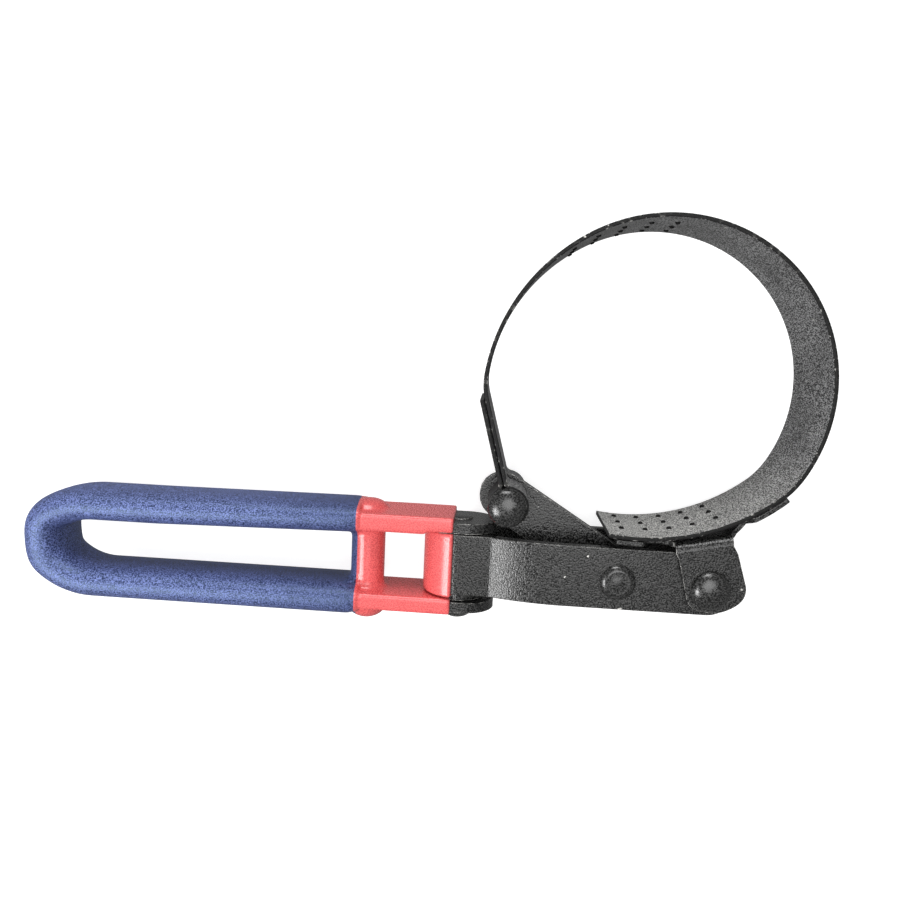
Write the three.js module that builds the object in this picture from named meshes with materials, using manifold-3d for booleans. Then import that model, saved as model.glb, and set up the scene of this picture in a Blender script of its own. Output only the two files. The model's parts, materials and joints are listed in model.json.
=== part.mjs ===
// Swivel-handle strap wrench for spin-on oil filters.
//
// Units are millimetres. X runs from the grip to the band, Y is up in the plane of the band,
// and Z is the axis of the filter that the band would hold, so the tool lies on its side.
// The tool is symmetric about the plane z = 0 until its origin is moved at the end.
import * as THREE from 'three';
import * as BufferGeometryUtils from 'three/addons/utils/BufferGeometryUtils.js';
import Module from 'manifold-3d';

const wasm = await Module();
wasm.setup();

// ---------------------------------------------------------------- driving dimensions
const GAP = 0.3;              // air left between pieces that touch
const CHORD_ERROR = 0.05;     // how far a facet of a bend may lie inside its true arc
const SIDES = 20;             // facets round a turned piece

const BAND_WIDTH = 31.75;
const BAND_THICK = 1.2;
const BAND_START = { x: 35.0, y: -55.1, heading: -8 };
const BASE_RADIUS = 62;       // the band lies flatter where the bracket is riveted to it
const BASE_SWEEP = 46.5;
const CORNER_RADIUS = 26;     // and turns up sharply beyond the bracket
const LOOP_RADIUS = 47.7;     // middle of the band's thickness, around the filter
const LEFT_RADIUS = 54.5;
const TOOTH_HEIGHT = 1.1;
const TOOTH_SIDES = 8;
const TOOTH_RADIUS = 1.1;
const TOOTH_SUNK = 0.4;       // depth of a tooth's foot inside the band
const TOOTH_ROWS = [-10.6, -2.4, 5.8];
const TOOTH_PITCH = 7.2;

const EYE_CENTRE = [5.08, -48.37];
const EYE_RADIUS = 5.5;       // middle of the thickness, around the link rivet
const EYE_FILLET = 2.5;
const FOLD_RADIUS = 18;       // the bend by which the band turns towards its eye
const FOLD_SWEEP = 23;
const FOLD_DOUBLE = 25.07;     // length over which the strip lies doubled
const LINK_SLOT = 2.1;        // half width of the slot that lets the link bar into the eye
const LINK_SLOT_REACH = 10.6;

const SHEET = 1.6;            // bracket sheet
const EAR_INSIDE = 14.3;      // z of the inner face of a bracket ear
const BRACKET_SWEEP = 10.5;   // how far the bracket follows the band's sharp corner
const BRACKET_INSET = 2.4;    // how far behind the end of the band the bracket begins
const EAR_TIP = {             // outline of an ear from its left root round the tip to its right
  rootLeft: [54.6, -56.4], cornerLeft: [61.0, -77.7], cornerRight: [75.0, -75.6],
  rootRight: [71.0, -51.4],
};

const LEVER_PIVOT = [65.4, -69.6];
const LINK_PIVOT = [38.8, -69.6];
const EYE_PIVOT = [4.8, -48.6];
const SWIVEL_X = -9.2;

const ARM_THICK = 3;
const ARM_MIDDLE = 12.4;      // z of the middle of an arm's thickness
const ARM_TOP = -59.35;
const ARM_BOTTOM = -78.1;
const ARM_END_RADIUS = 8.3;
const ARM_CORNER = 4;
const KNUCKLE_RADIUS = 8.5;
const KNUCKLE_SKIN = 0.8;
const KNUCKLE_SWING = 11.9;    // clear of the knuckle as the handle swivels round it
const FLARE_SWEEP = 18.5;
const FLARE_START = 8.7;      // straight length from the swivel to the first bend
const FLARE_FIRST = 8;        // a sharp bend outwards, then a slow one back
const FLARE_SECOND = 67.6;

const LINK_THICK = 3.2;
const LINK_HALF = 7.3;
const LINK_OVERHANG = 1.4;     // how far the eye end's round centre lies beyond its rivet

const SHANK = 3.175;
const HOLE = SHANK + GAP;
const SPACER = 5;
const WASHER_RADIUS = 8.2;
const DOME_RADIUS = 5.85;
const DOME_HEIGHT = 3.1;
const BUTTON_RADIUS = 4.9;    // head of the rivet through the lever and the link
const BUTTON_HEIGHT = 1.5;

const STRAP_WIDTH = 19.05;
const STRAP_THICK = 3.175;
const STRAP_TOP = -57.45;     // y of the middle of the upper leg
const STRAP_BOTTOM = -82.4;
const EAR_END = 2.3;
const BRACE_X = -38.3;
const BEND_X = -125.8;        // where the upper leg begins to bend down
const BEND_UPPER = [[27, 28], [6.6, 62]];
const BEND_LOWER = [[29.6, 10], [6.6, 40], [22.8, 40]];
const ROOM = { left: -170, below: -110, above: -30, deep: 20 };   // clear of the handle
const GRIP_THICK = 10.9;
const GRIP_SWELL = 0.16;      // extra thickness in the bend, as a fraction
const GRIP_WIDTH = 23.4;
const GRIP_SQUARE = 2.6;      // 2 would make the section an ellipse; more makes it squarer
const GRIP_END = -41;
const COAT = 0.5;
const COAT_START = -47;       // the thin coat begins inside the grip
const TUBE_COAT = 0.7;
const COLLAR_END = -11;
const BRACE_RADIUS = 4.5;
const BRACE_HEAD = 5.7;
const PIN_HEAD = 4.4;

// ---------------------------------------------------------------- helpers
const radians = THREE.MathUtils.degToRad;

function material(color, roughness, metalness) {
  return new THREE.MeshStandardMaterial({ color, roughness, metalness });
}

function toSolid(geometry) {
  const bare = geometry.index ? geometry.toNonIndexed() : geometry.clone();
  bare.deleteAttribute('normal');
  bare.deleteAttribute('uv');
  const merged = BufferGeometryUtils.mergeVertices(bare, 1e-4);
  return new wasm.Manifold(new wasm.Mesh({
    numProp: 3,
    vertProperties: new Float32Array(merged.attributes.position.array),
    triVerts: new Uint32Array(merged.index.array),
  }));
}

function toGeometry(solid) {
  const mesh = solid.getMesh();
  const geometry = new THREE.BufferGeometry();
  geometry.setAttribute('position', new THREE.BufferAttribute(mesh.vertProperties, 3));
  geometry.setIndex(new THREE.BufferAttribute(mesh.triVerts, 1));
  geometry.computeVertexNormals();
  return geometry;
}

function union(...solids) {
  return solids.reduce((whole, solid) => whole.add(solid));
}

// An outline in the XY plane made into a plate between two heights.
function plate(shape, z0, z1, curveSegments = 12) {
  const geometry = new THREE.ExtrudeGeometry(shape, {
    depth: z1 - z0, bevelEnabled: false, curveSegments,
  });
  return toSolid(geometry.translate(0, 0, z0));
}

function box(x0, x1, y0, y1, z0, z1) {
  const geometry = new THREE.BoxGeometry(x1 - x0, y1 - y0, z1 - z0);
  return toSolid(geometry.translate((x0 + x1) / 2, (y0 + y1) / 2, (z0 + z1) / 2));
}

// A turned piece from [radius, height] pairs, standing on a point of the XY plane.
function turnedZ(profile, [x, y], segments = SIDES) {
  const points = profile.map(([r, h]) => new THREE.Vector2(r, h));
  const geometry = new THREE.LatheGeometry(points, segments);
  return toSolid(geometry.rotateX(Math.PI / 2).translate(x, y, 0));
}

// The same with its axis along Y, at a given X.
function turnedY(profile, x, segments = SIDES) {
  const points = profile.map(([r, h]) => new THREE.Vector2(r, h));
  return toSolid(new THREE.LatheGeometry(points, segments).translate(x, 0, 0));
}

function rodProfile(radius, h0, h1) {
  return [[0, h0], [radius, h0], [radius, h1], [0, h1]];
}

function tubeProfile(inner, outer, h0, h1) {
  return [[inner, h0], [outer, h0], [outer, h1], [inner, h1], [inner, h0]];
}

const rodZ = (radius, centre, z0, z1) => turnedZ(rodProfile(radius, z0, z1), centre);
const rodY = (radius, x, y0, y1) => turnedY(rodProfile(radius, y0, y1), x);

// A quarter ellipse from the rim of a domed head to its crown.
function dome(radius, base, height, steps = 5) {
  const points = [];
  for (let i = 0; i < steps; i += 1) {
    const turn = (i / steps) * Math.PI / 2;
    points.push([radius * Math.cos(turn), base + height * Math.sin(turn)]);
  }
  points.push([0, base + height]);
  return points;
}

// ---------------------------------------------------------------- bent strips
// A strip is a run of [radius, sweep] bends and straight lengths from a start and a heading.
// A positive sweep turns left. The walk gives stations along the middle of the thickness.
function walk(start, run) {
  const stations = [{ ...start }];
  for (const [size, sweep] of run) {
    const from = stations[stations.length - 1];
    if (sweep === 0) {
      const h = radians(from.heading);
      stations.push({
        x: from.x + size * Math.cos(h), y: from.y + size * Math.sin(h), heading: from.heading,
      });
      continue;
    }
    const side = Math.sign(sweep);
    const step = 2 * Math.acos(1 - CHORD_ERROR / size);
    const count = Math.ceil(radians(Math.abs(sweep)) / step);
    const h0 = radians(from.heading);
    const cx = from.x - side * size * Math.sin(h0);
    const cy = from.y + side * size * Math.cos(h0);
    for (let i = 1; i <= count; i += 1) {
      const heading = from.heading + (sweep * i) / count;
      const h = radians(heading);
      stations.push({ x: cx + side * size * Math.sin(h), y: cy - side * size * Math.cos(h), heading });
    }
  }
  return stations;
}

function offsetPoint({ x, y, heading }, left) {
  const h = radians(heading);
  return new THREE.Vector2(x - left * Math.sin(h), y + left * Math.cos(h));
}

function stripShape(stations, thickness, shift = 0) {
  const left = stations.map((s) => offsetPoint(s, shift + thickness / 2));
  const right = stations.map((s) => offsetPoint(s, shift - thickness / 2));
  return new THREE.Shape([...right, ...left.reverse()]);
}

function strip(stations, thickness, width, shift = 0) {
  return plate(stripShape(stations, thickness, shift), -width / 2, width / 2);
}

// Takes a little off one end of a run of stations, to part two pieces of the same strip.
function trimmed(stations, atStart, atEnd) {
  const out = stations.map((s) => ({ ...s }));
  const first = out[0];
  const last = out[out.length - 1];
  first.x += atStart * Math.cos(radians(first.heading));
  first.y += atStart * Math.sin(radians(first.heading));
  last.x -= atEnd * Math.cos(radians(last.heading));
  last.y -= atEnd * Math.sin(radians(last.heading));
  return out;
}

// ---------------------------------------------------------------- band
const layerOffset = (BAND_THICK + GAP) / 2;
const filletSweep = THREE.MathUtils.radToDeg(
  Math.acos((layerOffset + EYE_FILLET) / (EYE_FILLET + EYE_RADIUS)));
const eyeRun = [
  [EYE_FILLET, filletSweep], [EYE_RADIUS, -(180 + 2 * filletSweep)], [EYE_FILLET, filletSweep],
];
const bandRuns = {
  band_base: [[BASE_RADIUS, BASE_SWEEP], [CORNER_RADIUS, 22], [LOOP_RADIUS, 17.5]],
  band_right: [[LOOP_RADIUS, 38]],
  band_upper_right: [[LOOP_RADIUS, 38]],
  band_top: [[LOOP_RADIUS, 38]],
  band_upper_left: [[LOOP_RADIUS, 19.5], [LEFT_RADIUS, 17]],
  band_left: [[LEFT_RADIUS, 34]],
  band_eye: [[FOLD_RADIUS, FOLD_SWEEP], [FOLD_DOUBLE, 0], ...eyeRun, [FOLD_DOUBLE, 0]],
};

function bandStations() {
  const pieces = {};
  let start = BAND_START;
  for (const [name, run] of Object.entries(bandRuns)) {
    pieces[name] = walk(start, run);
    start = pieces[name][pieces[name].length - 1];
  }
  return pieces;
}

// A tooth is a low cone pressed through the band towards the filter.
function tooth(station, z) {
  const base = offsetPoint(station, BAND_THICK / 2 - TOOTH_SUNK);
  const height = TOOTH_HEIGHT + TOOTH_SUNK;
  const geometry = new THREE.ConeGeometry(TOOTH_RADIUS, height, TOOTH_SIDES);
  geometry.translate(0, height / 2, 0);
  geometry.rotateZ(radians(station.heading));
  return toSolid(geometry.translate(base.x, base.y, z));
}

// Adds a column of teeth at the end of each run from the start of a piece of the band.
function teeth(piece, start, runs) {
  let whole = piece;
  for (const run of runs) {
    const station = walk(start, run).pop();
    for (const z of TOOTH_ROWS) {
      whole = whole.add(tooth(station, z));
    }
  }
  return whole;
}

const stationsOf = bandStations();
const bandPiece = {};
for (const [name, stations] of Object.entries(stationsOf)) {
  const atStart = name === 'band_base' ? 0 : GAP / 2;
  const atEnd = name === 'band_eye' ? 0 : GAP / 2;
  bandPiece[name] = strip(trimmed(stations, atStart, atEnd), BAND_THICK, BAND_WIDTH);
}
const toothColumns = {
  band_base: [0.7, 1.7, 2.7, 3.7, 4.7].map(
    (pitches) => [[BASE_RADIUS, THREE.MathUtils.radToDeg((pitches * TOOTH_PITCH) / BASE_RADIUS)]]),
  band_top: [[[LOOP_RADIUS, 23.5]], [[LOOP_RADIUS, 32.5]]],
  band_upper_left: [
    [[LOOP_RADIUS, 4]], [[LOOP_RADIUS, 13.5]], [[LOOP_RADIUS, 19.5], [LEFT_RADIUS, 3]],
  ],
};
for (const [name, runs] of Object.entries(toothColumns)) {
  bandPiece[name] = teeth(bandPiece[name], stationsOf[name][0], runs);
}

function slotForLink() {
  const [x, y] = EYE_CENTRE;
  const size = 2 * LINK_SLOT_REACH;
  const geometry = new THREE.BoxGeometry(4 * EYE_RADIUS, size, 2 * LINK_SLOT);
  const turn = stationsOf.band_eye[stationsOf.band_eye.length - 1].heading - 90;
  geometry.rotateZ(radians(turn));
  return toSolid(geometry.translate(x, y, 0));
}
bandPiece.band_eye = bandPiece.band_eye.subtract(slotForLink());

// ---------------------------------------------------------------- bracket
function bracketEar(z0, z1) {
  const { rootLeft, cornerLeft, cornerRight, rootRight } = EAR_TIP;
  const shape = new THREE.Shape();
  shape.moveTo(...rootLeft);
  shape.lineTo(cornerLeft[0] - 1, cornerLeft[1] + 2.7);
  shape.quadraticCurveTo(...cornerLeft, cornerLeft[0] + 3.4, cornerLeft[1] - 0.1);
  shape.lineTo(cornerRight[0] - 6, cornerRight[1] - 1.6);
  shape.quadraticCurveTo(...cornerRight, cornerRight[0] + 0.7, cornerRight[1] + 6);
  shape.lineTo(cornerRight[0] + 0.4, cornerRight[1] + 8.6);
  shape.lineTo(...rootRight);
  return plate(shape, z0, z1, 6).subtract(rodZ(HOLE, LEVER_PIVOT, z0 - 1, z1 + 1));
}

function bracket() {
  const run = [[BASE_RADIUS, BASE_SWEEP], [CORNER_RADIUS, BRACKET_SWEEP]];
  const drop = BAND_THICK / 2 + GAP + SHEET / 2;
  const stations = trimmed(walk(BAND_START, run), BRACKET_INSET, 0);
  const half = EAR_INSIDE + SHEET;
  const base = strip(stations, SHEET, 2 * half, -drop);
  return union(base, bracketEar(EAR_INSIDE, half), bracketEar(-half, -EAR_INSIDE));
}

function domedRivet(centre, reach, headZ, headRadius = DOME_RADIUS) {
  const upper = [[SHANK, headZ], ...dome(headRadius, headZ + 0.5, reach - headZ - 0.5)];
  upper.splice(1, 0, [headRadius, headZ]);
  const lower = upper.map(([r, h]) => [r, -h]).reverse();
  return turnedZ([...lower, ...upper], centre);
}

// ---------------------------------------------------------------- lever
function armOutline() {
  const [x, y] = LEVER_PIVOT;
  const shape = new THREE.Shape();
  shape.moveTo(ROOM.left, ARM_TOP);
  shape.lineTo(ROOM.left, ARM_BOTTOM);
  shape.lineTo(x, ARM_BOTTOM);
  shape.absarc(x, y, ARM_END_RADIUS, -Math.PI / 2, 0, false);
  shape.lineTo(x + ARM_END_RADIUS, ARM_TOP - ARM_CORNER);
  shape.quadraticCurveTo(x + ARM_END_RADIUS, ARM_TOP, x + ARM_CORNER, ARM_TOP);
  return shape;
}

// Half of the hairpin seen from above, from the back of the knuckle to the end of an arm.
function hairpin(thickness, shift) {
  const flare = (FLARE_FIRST + FLARE_SECOND) * Math.sin(radians(FLARE_SWEEP));
  const end = LEVER_PIVOT[0] + 1.5 * ARM_END_RADIUS;
  const straight = end - SWIVEL_X - FLARE_START - flare;
  const start = { x: SWIVEL_X - KNUCKLE_RADIUS, y: 0, heading: -90 };
  const run = [
    [KNUCKLE_RADIUS, 90], [FLARE_START, 0],
    [FLARE_FIRST, -FLARE_SWEEP], [FLARE_SECOND, FLARE_SWEEP], [straight, 0],
  ];
  const stations = walk(start, run);
  const mirrored = stations.slice(1).reverse().map(
    ({ x, y, heading }) => ({ x, y: -y, heading: 180 - heading }));
  return stripShape([...mirrored, ...stations], thickness, shift);
}

// The hairpin's plan stands along Y: its outline is turned from XY into XZ.
function leverStrip(thickness, shift = 0) {
  const geometry = new THREE.ExtrudeGeometry(hairpin(thickness, shift), {
    depth: ROOM.above - ROOM.below, bevelEnabled: false,
  });
  return toSolid(geometry.rotateX(-Math.PI / 2).translate(0, ROOM.below, 0));
}

function leverClevis() {
  const side = plate(armOutline(), -ROOM.deep, ROOM.deep, 8);
  const blank = leverStrip(ARM_THICK).intersect(side);
  return blank
    .subtract(rodZ(HOLE, LEVER_PIVOT, -ROOM.deep, ROOM.deep))
    .subtract(rodZ(HOLE, LINK_PIVOT, -ROOM.deep, ROOM.deep));
}

// Vinyl on the outside of the knuckle, up to the same line as the collar.
function knuckleCoat() {
  const skin = leverStrip(KNUCKLE_SKIN, -(ARM_THICK + KNUCKLE_SKIN) / 2 - GAP);
  const region = box(ROOM.left, COLLAR_END, ARM_BOTTOM, ARM_TOP, -ROOM.deep, ROOM.deep);
  return skin.intersect(region);
}

function leverRivet() {
  const face = ARM_MIDDLE + ARM_THICK / 2 + GAP;
  const end = [
    [SHANK, face], [BUTTON_RADIUS, face], [BUTTON_RADIUS, face + BUTTON_HEIGHT / 3],
    [BUTTON_RADIUS - 0.4, face + BUTTON_HEIGHT - 0.1], [0, face + BUTTON_HEIGHT],
  ];
  const other = end.map(([r, h]) => [r, -h]).reverse();
  return turnedZ([...other, ...end], LINK_PIVOT);
}

function leverSpacer(side) {
  const near = LINK_THICK / 2 + GAP;
  const far = ARM_MIDDLE - ARM_THICK / 2 - GAP;
  const ends = side > 0 ? [near, far] : [-far, -near];
  return turnedZ(tubeProfile(HOLE, SPACER, ...ends), LINK_PIVOT);
}

// ---------------------------------------------------------------- link
function linkBar() {
  const from = new THREE.Vector2(...EYE_PIVOT);
  const to = new THREE.Vector2(...LINK_PIVOT);
  const length = from.distanceTo(to);
  const shape = new THREE.Shape();
  shape.absarc(-LINK_OVERHANG, 0, LINK_HALF, Math.PI / 2, 1.5 * Math.PI, false);
  shape.absarc(length, 0, LINK_HALF, -Math.PI / 2, Math.PI / 2, false);
  const geometry = new THREE.ExtrudeGeometry(shape, {
    depth: LINK_THICK, bevelEnabled: false, curveSegments: 14,
  });
  geometry.translate(0, 0, -LINK_THICK / 2);
  geometry.rotateZ(to.clone().sub(from).angle());
  const blank = toSolid(geometry.translate(from.x, from.y, 0));
  return blank
    .subtract(rodZ(HOLE, EYE_PIVOT, -LINK_THICK, LINK_THICK))
    .subtract(rodZ(HOLE, LINK_PIVOT, -LINK_THICK, LINK_THICK));
}

// ---------------------------------------------------------------- handle
// The strap runs from the upper ear round the bend to the lower ear. The bend starts wide, and a
// straight length where it stands upright makes up the rest of the distance between the legs.
function strapBend() {
  const start = { x: BEND_X, y: STRAP_TOP, heading: 180 };
  const end = walk(start, [...BEND_UPPER, ...BEND_LOWER]).pop();
  return walk(start, [...BEND_UPPER, [end.y - STRAP_BOTTOM, 0], ...BEND_LOWER]);
}

function strapStations(start = EAR_END) {
  return [
    { x: start, y: STRAP_TOP, heading: 180 },
    ...strapBend(),
    { x: start, y: STRAP_BOTTOM, heading: 360 },
  ];
}

function handleStrap() {
  const radius = STRAP_WIDTH / 2;
  const centre = EAR_END - radius;
  const plan = new THREE.Shape();
  plan.moveTo(ROOM.left, -radius);
  plan.lineTo(centre, -radius);
  plan.absarc(centre, 0, radius, -Math.PI / 2, Math.PI / 2, false);
  plan.lineTo(ROOM.left, radius);
  const geometry = new THREE.ExtrudeGeometry(plan, {
    depth: ROOM.above - ROOM.below, bevelEnabled: false, curveSegments: 16,
  });
  const planSolid = toSolid(geometry.rotateX(-Math.PI / 2).translate(0, ROOM.below, 0));
  return strip(strapStations(), STRAP_THICK, STRAP_WIDTH)
    .intersect(planSolid)
    .subtract(rodY(HOLE, SWIVEL_X, ROOM.below, ROOM.above))
    .subtract(rodY(HOLE, BRACE_X, ROOM.below, ROOM.above));
}

// Rings of a rounded section are placed at each station and joined, like a swept tube.
function sweptRound(stations, halfThick, halfWidth) {
  const positions = [];
  const index = [];
  const sides = SIDES;
  const power = 2 / GRIP_SQUARE;
  const square = (value) => Math.sign(value) * Math.abs(value) ** power;
  for (const station of stations) {
    const inBend = Math.sin(radians(station.heading - 180));
    const thick = halfThick * (1 + GRIP_SWELL * inBend);
    for (let i = 0; i < sides; i += 1) {
      const turn = (i / sides) * 2 * Math.PI;
      const p = offsetPoint(station, thick * square(Math.cos(turn)));
      positions.push(p.x, p.y, halfWidth * square(Math.sin(turn)));
    }
  }
  for (let ring = 0; ring + 1 < stations.length; ring += 1) {
    for (let i = 0; i < sides; i += 1) {
      const a = ring * sides + i;
      const b = ring * sides + ((i + 1) % sides);
      index.push(a, b, a + sides, b, b + sides, a + sides);
    }
  }
  const lastRing = (stations.length - 1) * sides;
  for (let i = 1; i + 1 < sides; i += 1) {
    index.push(0, i + 1, i);
    index.push(lastRing, lastRing + i, lastRing + i + 1);
  }
  const geometry = new THREE.BufferGeometry();
  geometry.setAttribute('position', new THREE.Float32BufferAttribute(positions, 3));
  geometry.setIndex(index);
  return toSolid(geometry);
}

const strapRoom = () => strip(
  strapStations(EAR_END + 1), STRAP_THICK + 2 * GAP, STRAP_WIDTH + 2 * GAP);

// Thin vinyl over both legs and the brace tube, dipped in one go.
function thinCoat() {
  const grown = 2 * (GAP + COAT);
  const legs = strip(strapStations(), STRAP_THICK + grown, STRAP_WIDTH + grown)
    .intersect(box(COAT_START, COLLAR_END, ROOM.below, ROOM.above, -ROOM.deep, ROOM.deep));
  const tube = rodY(BRACE_RADIUS + GAP + TUBE_COAT, BRACE_X, STRAP_BOTTOM, STRAP_TOP);
  const inside = (STRAP_THICK / 2) - GAP;
  const knuckleRoom = box(
    SWIVEL_X - KNUCKLE_SWING, 0, STRAP_BOTTOM + inside, STRAP_TOP - inside,
    -ROOM.deep, ROOM.deep);
  return legs.add(tube)
    .subtract(knuckleRoom)
    .subtract(strapRoom())
    .subtract(rodY(BRACE_RADIUS + GAP, BRACE_X, STRAP_BOTTOM, STRAP_TOP))
    .subtract(rodY(HOLE, BRACE_X, ROOM.below, ROOM.above));
}

function redCollar() {
  return thinCoat()
    .intersect(box(GRIP_END + GAP / 2, 0, ROOM.below, ROOM.above, -ROOM.deep, ROOM.deep))
    .subtract(rodY(PIN_HEAD + GAP, SWIVEL_X, ROOM.below, ROOM.above));
}

function blueGrip() {
  const kept = box(
    ROOM.left, GRIP_END - GAP / 2, ROOM.below, ROOM.above, -ROOM.deep, ROOM.deep);
  const cushion = sweptRound(strapStations(), GRIP_THICK / 2, GRIP_WIDTH / 2);
  const bare = rodY(BRACE_RADIUS + GAP, BRACE_X, STRAP_BOTTOM, STRAP_TOP);
  return cushion
    .intersect(kept)
    .subtract(strapRoom())
    .subtract(bare)
    .subtract(rodY(BRACE_HEAD + GAP, BRACE_X, ROOM.below, STRAP_BOTTOM))
    .subtract(rodY(BRACE_HEAD + GAP, BRACE_X, STRAP_TOP, ROOM.above))
    .add(thinCoat().intersect(kept));
}

function braceTube() {
  const half = STRAP_THICK / 2 + GAP;
  return turnedY(
    tubeProfile(HOLE, BRACE_RADIUS, STRAP_BOTTOM + half, STRAP_TOP - half), BRACE_X);
}

function headedPinY(x, lower, upper) {
  return turnedY([...lower, ...upper], x);
}

// Round heads under the vinyl; the lower one is the factory head and stands higher.
function braceRivet() {
  const outside = STRAP_THICK / 2 + 2 * GAP + COAT;
  const top = STRAP_TOP + outside;
  const bottom = outside - STRAP_BOTTOM;
  const upper = [[SHANK, top], [5.4, top], ...dome(5.4, top + 0.3, 3.3)];
  const lower = [
    [SHANK, bottom], [BRACE_HEAD, bottom], ...dome(BRACE_HEAD, bottom + 0.6, 4.7),
  ];
  return headedPinY(BRACE_X, lower.map(([r, h]) => [r, -h]).reverse(), upper);
}

function swivelPin() {
  const top = STRAP_TOP + STRAP_THICK / 2 + GAP;
  const bottom = STRAP_BOTTOM - STRAP_THICK / 2 - GAP;
  const upper = [[SHANK, top], [3.9, top], [3.7, top + 0.6], [0, top + 0.7]];
  const lower = [[SHANK, -bottom], [PIN_HEAD, -bottom], ...dome(PIN_HEAD, -bottom + 1, 3)];
  return headedPinY(SWIVEL_X, lower.map(([r, h]) => [r, -h]).reverse(), upper);
}

function swivelSleeve() {
  const outer = KNUCKLE_RADIUS - ARM_THICK / 2 - 2 * GAP;
  return turnedY(tubeProfile(HOLE, outer, ARM_BOTTOM, ARM_TOP), SWIVEL_X);
}

// Takes up the room that the knuckle leaves above the lower ear.
function swivelWasher() {
  const bottom = STRAP_BOTTOM + STRAP_THICK / 2 + GAP;
  return turnedY(tubeProfile(HOLE, WASHER_RADIUS, bottom, ARM_BOTTOM - GAP), SWIVEL_X);
}

// ---------------------------------------------------------------- assembly
const blackSteel = () => material(0x2b2c2f, 0.55, 0.4);
const plainSteel = () => material(0x8b8d90, 0.35, 0.9);
const redVinyl = () => material(0xd8545f, 0.4, 0);
const blueVinyl = () => material(0x2f3f78, 0.7, 0);

const headFace = EAR_INSIDE + SHEET + GAP;
const eyeFace = BAND_WIDTH / 2 + GAP;
const armInside = ARM_MIDDLE - ARM_THICK / 2 - GAP;

const pieces = [
  ...Object.entries(bandPiece).map(([name, solid]) => [name, solid, blackSteel]),
  ['bracket', bracket(), blackSteel],
  ['bracket_rivet', domedRivet(LEVER_PIVOT, headFace + DOME_HEIGHT, headFace), blackSteel],
  ['bracket_spacer', turnedZ(tubeProfile(HOLE, SPACER, -armInside, armInside), LEVER_PIVOT), plainSteel],
  ['lever_clevis', leverClevis(), blackSteel],
  ['knuckle_coat', knuckleCoat(), redVinyl],
  ['lever_rivet', leverRivet(), blackSteel],
  ['lever_spacer_front', leverSpacer(1), plainSteel],
  ['lever_spacer_back', leverSpacer(-1), plainSteel],
  ['link_bar', linkBar(), blackSteel],
  ['link_rivet', domedRivet(EYE_PIVOT, eyeFace + DOME_HEIGHT, eyeFace), blackSteel],
  ['handle_strap', handleStrap(), blackSteel],
  ['blue_grip', blueGrip(), blueVinyl],
  ['red_collar', redCollar(), redVinyl],
  ['brace_tube', braceTube(), plainSteel],
  ['brace_rivet', braceRivet(), redVinyl],
  ['swivel_pin', swivelPin(), blackSteel],
  ['swivel_sleeve', swivelSleeve(), plainSteel],
  ['swivel_washer', swivelWasher(), plainSteel],
];

const group = new THREE.Group();
for (const [name, solid, finish] of pieces) {
  const mesh = new THREE.Mesh(toGeometry(solid), finish());
  mesh.name = name;
  group.add(mesh);
}

// The origin goes to the middle of the box's underside.
const bounds = new THREE.Box3().setFromObject(group);
const middle = bounds.getCenter(new THREE.Vector3());
group.position.set(-middle.x, -middle.y, -bounds.min.z);
group.updateMatrixWorld(true);

export default group;
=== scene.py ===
"""Looks of the band wrench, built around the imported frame: vinyl grip, enamelled steel and band."""

import json
import math

import bmesh
import bpy
import numpy as np
from mathutils import Euler, Matrix, Vector


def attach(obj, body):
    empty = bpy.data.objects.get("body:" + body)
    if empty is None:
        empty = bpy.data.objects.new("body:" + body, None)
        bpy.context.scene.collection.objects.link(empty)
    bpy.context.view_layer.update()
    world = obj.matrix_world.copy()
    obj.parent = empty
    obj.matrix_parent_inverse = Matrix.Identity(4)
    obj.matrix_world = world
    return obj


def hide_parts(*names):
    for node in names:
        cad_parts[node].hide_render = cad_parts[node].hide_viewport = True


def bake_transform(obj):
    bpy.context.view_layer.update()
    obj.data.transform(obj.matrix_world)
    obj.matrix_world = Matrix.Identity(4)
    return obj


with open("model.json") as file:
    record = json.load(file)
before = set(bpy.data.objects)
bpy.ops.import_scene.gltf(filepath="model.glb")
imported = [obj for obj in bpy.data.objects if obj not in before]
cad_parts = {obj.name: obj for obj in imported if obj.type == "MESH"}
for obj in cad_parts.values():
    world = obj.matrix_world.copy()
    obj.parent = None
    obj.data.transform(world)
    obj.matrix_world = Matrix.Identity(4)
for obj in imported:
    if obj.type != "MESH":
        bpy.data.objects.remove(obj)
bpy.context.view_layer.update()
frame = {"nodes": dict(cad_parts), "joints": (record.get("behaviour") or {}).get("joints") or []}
NODES = frame["nodes"]
JOINTS = {j["name"]: j for j in frame["joints"]}
MM = 0.001

# ---------------------------------------------------------------- drawing dimensions, millimetres
# The drawing has its origin under the camera, on the tool's middle plane. Its X and Y follow the
# frame's, and the lever's pivot ties the two together.
LEVER_PIVOT = Vector((65.4, -69.6, 0))
LINK_PIVOT = Vector((38.8, -69.6, 0))
EYE_PIVOT = Vector((4.8, -48.6, 0))
SWIVEL_X = -9.2
HALF_DEPTH = 19.3
ORIGIN = Vector(JOINTS["lever_hinge"]["pos_m"]) / MM - LEVER_PIVOT

CAMERA_HEIGHT = 242.3
CAMERA_TILT = (-7.977, 3.609, 2.678)
CAMERA_LENS = 31.4

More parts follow.
